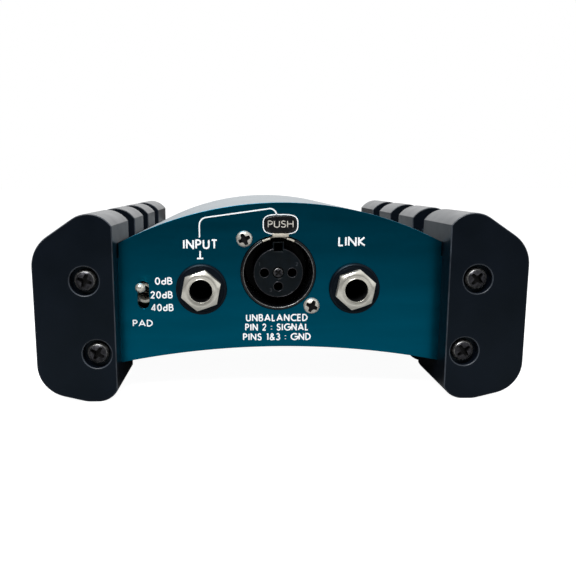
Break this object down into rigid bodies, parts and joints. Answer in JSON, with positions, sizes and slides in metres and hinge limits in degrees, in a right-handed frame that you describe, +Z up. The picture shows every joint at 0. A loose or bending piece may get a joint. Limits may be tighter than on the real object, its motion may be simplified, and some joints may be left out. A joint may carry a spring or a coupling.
{
  "type": "direct injection box",
  "caption": "Stage direct box: arched petrol-blue case between ribbed black rubber bumpers, with jack and XLR inputs, pad switch, XLR output and battery drawer.",
  "frame": {"origin": "on the floor, under the middle of the box", "axes": "+Z up; -Y the input panel with the jacks; +X to the right seen from the input panel"},
  "size_m": [0.1404, 0.132, 0.0569],
  "materials": {
    "bumper_rubber": "matt moulded rubber",
    "petrol_case": "petrol blue satin paint over aluminium",
    "black_screw": "black oxide",
    "bright_screw": "bright zinc plate",
    "black_plastic": "moulded black",
    "black_metal": "black plated die casting",
    "nickel": "polished nickel plate",
    "bright_steel": "bright nickel plated steel",
    "gold_contact": "gold plated",
    "red_lens": "diffused red lens",
    "battery_can": "plain printed jacket",
    "circuit_board": "green solder mask",
    "core_steel": "stacked steel laminations",
    "copper_wire": "enamelled copper wire",
    "capacitor_sleeve": "blue shrink sleeve"
  },
  "bodies": {
    "chassis": {"left_bumper": "bumper_rubber", "right_bumper": "bumper_rubber", "case_sleeve": "petrol_case", "front_panel": "petrol_case", "rear_panel": "petrol_case", "front_bumper_screw_1": "black_screw", "front_bumper_screw_2": "black_screw", "front_bumper_screw_3": "black_screw", "front_bumper_screw_4": "black_screw", "rear_bumper_screw_1": "black_screw", "rear_bumper_screw_2": "black_screw", "rear_bumper_screw_3": "black_screw", "rear_bumper_screw_4": "black_screw", "input_xlr_insert_screw": "black_screw", "input_xlr_screw_1": "bright_screw", "input_xlr_screw_2": "bright_screw", "output_xlr_screw_1": "bright_screw", "output_xlr_screw_2": "bright_screw", "input_xlr_housing": "black_plastic", "input_xlr_insert": "black_plastic", "output_xlr_insert": "black_plastic", "input_jack_body": "black_plastic", "link_jack_body": "black_plastic", "input_jack_washer": "black_plastic", "link_jack_washer": "black_plastic", "pad_switch_body": "black_plastic", "ground_switch_body": "black_plastic", "power_switch_body": "black_plastic", "battery_bay": "black_plastic", "amplifier_chip": "black_plastic", "output_xlr_shell": "black_metal", "input_jack_nut": "nickel", "link_jack_nut": "nickel", "input_jack_bush": "nickel", "link_jack_bush": "nickel", "input_jack_tip_spring": "bright_steel", "link_jack_tip_spring": "bright_steel", "pad_switch_bushing": "bright_steel", "ground_switch_bushing": "bright_steel", "power_switch_bushing": "bright_steel", "battery_contacts": "bright_steel", "input_xlr_contact_1": "gold_contact", "input_xlr_contact_2": "gold_contact", "input_xlr_contact_3": "gold_contact", "output_xlr_pin_1": "gold_contact", "output_xlr_pin_2": "gold_contact", "output_xlr_pin_3": "gold_contact", "power_led": "red_lens", "circuit_board": "circuit_board", "transformer_core": "core_steel", "transformer_winding": "copper_wire", "filter_capacitor": "capacitor_sleeve"},
    "pad_lever": {"pad_switch_lever": "bright_steel"},
    "xlr_latch": {"input_xlr_push_tab": "black_plastic", "input_xlr_latch": "bright_steel"},
    "ground_lever": {"ground_switch_lever": "bright_steel"},
    "power_lever": {"power_switch_lever": "bright_steel"},
    "battery_drawer": {"battery_drawer": "black_plastic", "battery": "battery_can"}
  },
  "joints": [
    {"name": "pad_select", "type": "hinge", "parent": "chassis", "child": "pad_lever", "pos_m": [-0.0403, -0.051, 0.0301], "axis": [1, 0, 0], "range_deg": [0, 25]},
    {"name": "latch_push", "type": "slide", "parent": "chassis", "child": "xlr_latch", "axis": [0, 1, 0], "range_m": [0, 0.0018], "stiffness_N_per_m": 800, "springref_m": -0.001},
    {"name": "ground_lift", "type": "hinge", "parent": "chassis", "child": "ground_lever", "pos_m": [0.009, 0.051, 0.031], "axis": [1, 0, 0], "range_deg": [0, 25]},
    {"name": "power_select", "type": "hinge", "parent": "chassis", "child": "power_lever", "pos_m": [0.001, 0.051, 0.031], "axis": [-1, 0, 0], "range_deg": [0, 25]},
    {"name": "drawer_slide", "type": "slide", "parent": "chassis", "child": "battery_drawer", "axis": [0, 1, 0], "range_m": [0, 0.05]}
  ]
}
